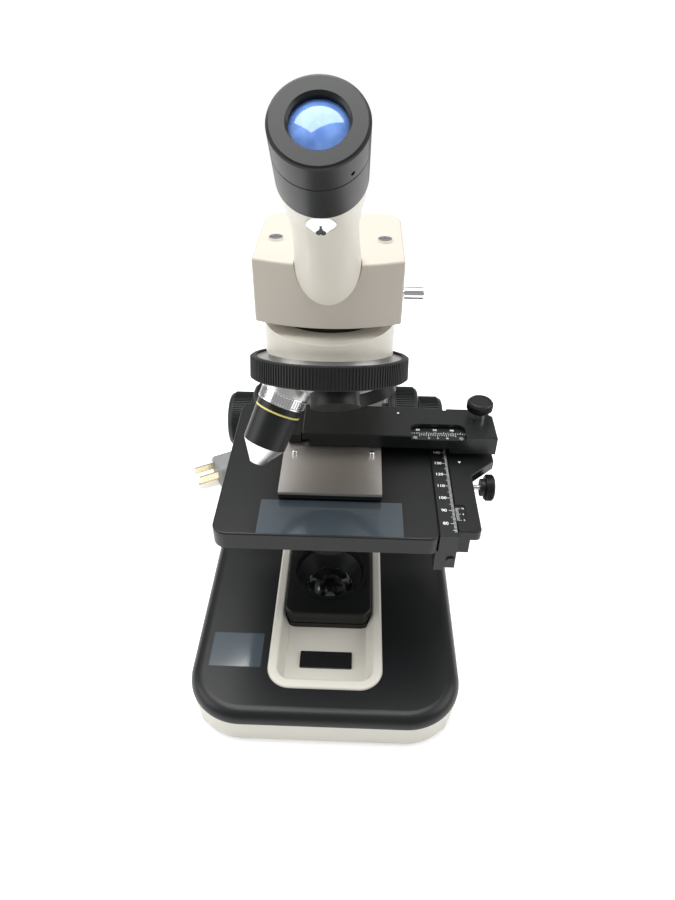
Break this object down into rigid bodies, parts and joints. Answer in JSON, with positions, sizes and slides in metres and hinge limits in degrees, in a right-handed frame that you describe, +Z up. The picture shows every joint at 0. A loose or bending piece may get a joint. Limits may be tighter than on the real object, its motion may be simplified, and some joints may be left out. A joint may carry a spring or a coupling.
{
  "type": "inspection microscope",
  "caption": "Compact monocular inspection microscope: tilting-port nosepiece with one objective, mechanical stage with X and Y scales, focusing knobs, lamp base and mains cord.",
  "frame": {"origin": "on the table, under the middle of the whole instrument without its free cord", "axes": "+Z up, +Y away from the user, from the eyepiece towards the arm, +X to the user's right"},
  "size_m": [0.2147, 0.3793, 0.3388],
  "materials": {
    "cream_paint": "satin enamel",
    "cream_plastic": "satin",
    "black_enamel": "satin enamel",
    "black_anodised": "satin anodised",
    "black_plastic": "satin",
    "knob_black": "ribbed satin",
    "grip_rubber": "ribbed matte",
    "foot_rubber": "matte",
    "silver": "brushed",
    "plate_steel": "brushed",
    "steel": "machined",
    "bright_chrome": "polished",
    "brass_blades": "bright",
    "clear_glass": "polished",
    "grey_plastic": "matte",
    "cord_vinyl": "matte",
    "iron_core": "varnished",
    "ceramic": "matte",
    "scale_black": "engraved satin"
  },
  "bodies": {
    "stand": {"base_skirt": "cream_plastic", "base_cover": "black_enamel", "bottom_plate": "steel", "rubber_feet": "foot_rubber", "illuminator_bezel": "cream_plastic", "badge_plate": "scale_black", "filter_collar": "black_anodised", "field_lens": "clear_glass", "lamp_socket": "ceramic", "lamp_bulb": "clear_glass", "transformer": "iron_core", "arm_casting": "cream_paint", "nosepiece_mount": "steel", "head_collar": "black_enamel", "cord_gland": "cord_vinyl", "cord_lead": "cord_vinyl", "cord_coil": "cord_vinyl", "cord_tail": "cord_vinyl", "power_plug": "grey_plastic", "plug_blades": "brass_blades"},
    "dial": {"brightness_dial": "black_plastic"},
    "switch": {"power_switch": "black_plastic"},
    "focus_slide": {"coarse_slide": "steel"},
    "coarse_drive": {"coarse_knobs": "knob_black"},
    "fine_drive": {"fine_knobs": "knob_black"},
    "stage": {"stage_bracket": "black_anodised", "stage_plate": "black_anodised", "condenser_holder": "black_anodised", "y_rail": "scale_black"},
    "condenser": {"condenser_body": "black_anodised"},
    "iris": {"iris_lever": "black_anodised"},
    "carriage": {"y_carriage": "black_anodised", "x_guide": "black_anodised", "x_cover": "black_anodised", "x_vernier": "scale_black", "vernier_screws": "bright_chrome"},
    "y_drive": {"y_shaft": "steel", "y_knob": "black_plastic"},
    "slider": {"x_slider": "scale_black", "specimen_plate": "plate_steel", "specimen_pins": "bright_chrome"},
    "x_drive": {"x_shaft": "bright_chrome", "x_knob": "black_plastic"},
    "nosepiece": {"nosepiece_disc": "silver", "grip_ring": "grip_rubber", "port_plugs": "black_plastic", "objective_collar": "bright_chrome", "objective_barrel": "black_anodised", "objective_nose": "silver"},
    "head": {"prism_housing": "cream_paint", "eyepiece_tube": "cream_paint", "housing_screws": "bright_chrome", "prism": "clear_glass"},
    "lock_pin": {"head_pin": "bright_chrome"},
    "clamp": {"eyepiece_clamp": "bright_chrome"},
    "eyepiece": {"eyepiece_body": "black_plastic", "reticle": "clear_glass"},
    "eye_ring": {"eyecup": "black_plastic", "eye_lens": "clear_glass"}
  },
  "joints": [
    {"name": "brightness_turn", "type": "hinge", "parent": "stand", "child": "dial", "pos_m": [0.0712, 0.05365, 0.0115], "axis": [1, 0, 0], "range_deg": [0, 270]},
    {"name": "power_rock", "type": "hinge", "parent": "stand", "child": "switch", "pos_m": [-0.0454, 0.09065, 0.012], "axis": [1, 0, 0], "range_deg": [-8, 8]},
    {"name": "coarse_travel", "type": "slide", "parent": "stand", "child": "focus_slide", "axis": [0, 0, 1], "range_m": [-0.02, 0.001]},
    {"name": "coarse_turn", "type": "hinge", "parent": "stand", "child": "coarse_drive", "pos_m": [-0.0084, 0.07165, 0.0931], "axis": [1, 0, 0], "range_deg": [-10, 150]},
    {"name": "fine_turn", "type": "hinge", "parent": "stand", "child": "fine_drive", "pos_m": [-0.0084, 0.07165, 0.0931], "axis": [1, 0, 0], "range_deg": [-1080, 1080]},
    {"name": "fine_travel", "type": "slide", "parent": "focus_slide", "child": "stage", "axis": [0, 0, 1], "range_m": [-0.0006, 0.0006]},
    {"name": "condenser_travel", "type": "slide", "parent": "stage", "child": "condenser", "axis": [0, 0, 1], "range_m": [-0.01, 0]},
    {"name": "iris_turn", "type": "hinge", "parent": "condenser", "child": "iris", "pos_m": [-0.0084, -0.01635, 0.0802], "axis": [0, 0, 1], "range_deg": [-28, 28]},
    {"name": "y_travel", "type": "slide", "parent": "stage", "child": "carriage", "axis": [0, 1, 0], "range_m": [-0.0015, 0.022]},
    {"name": "y_turn", "type": "hinge", "parent": "carriage", "child": "y_drive", "pos_m": [0.0716, -0.02265, 0.116], "axis": [1, 0, 0], "range_deg": [-30, 400]},
    {"name": "x_travel", "type": "slide", "parent": "carriage", "child": "slider", "axis": [1, 0, 0], "range_m": [-0.006, 0.038]},
    {"name": "x_turn", "type": "hinge", "parent": "carriage", "child": "x_drive", "pos_m": [0.079, 0.01195, 0.14], "axis": [0, 0, 1], "range_deg": [-110, 690]},
    {"name": "nosepiece_turn", "type": "hinge", "parent": "stand", "child": "nosepiece", "pos_m": [-0.0084, -0.02955, 0.2061], "axis": [0, 0.3746, 0.9272], "continuous": true},
    {"name": "head_turn", "type": "hinge", "parent": "stand", "child": "head", "pos_m": [-0.0084, -0.01635, 0.232], "axis": [0, 0, 1], "continuous": true},
    {"name": "lock_pin_turn", "type": "hinge", "parent": "head", "child": "lock_pin", "pos_m": [0.0246, -0.03135, 0.2405], "axis": [1, 0, 0], "range_deg": [0, 90]},
    {"name": "clamp_turn", "type": "hinge", "parent": "head", "child": "clamp", "pos_m": [-0.0084, -0.09759, 0.29394], "axis": [0, -0.7466, -0.6652], "range_deg": [-90, 0]},
    {"name": "eyepiece_turn", "type": "hinge", "parent": "head", "child": "eyepiece", "pos_m": [-0.0084, -0.08985, 0.3078], "axis": [0, -0.6652, 0.7466], "continuous": true},
    {"name": "eye_ring_turn", "type": "hinge", "parent": "eyepiece", "child": "eye_ring", "pos_m": [-0.0084, -0.10116, 0.3205], "axis": [0, -0.6652, 0.7466], "range_deg": [-90, 90]}
  ],
  "couplings": [
    {"joint": "coarse_turn", "follows": "coarse_travel", "rad_per_m": -125},
    {"joint": "fine_turn", "follows": "fine_travel", "rad_per_m": -31400},
    {"joint": "y_turn", "follows": "y_travel", "rad_per_m": 312.5},
    {"joint": "x_turn", "follows": "x_travel", "rad_per_m": 312.5}
  ]
}
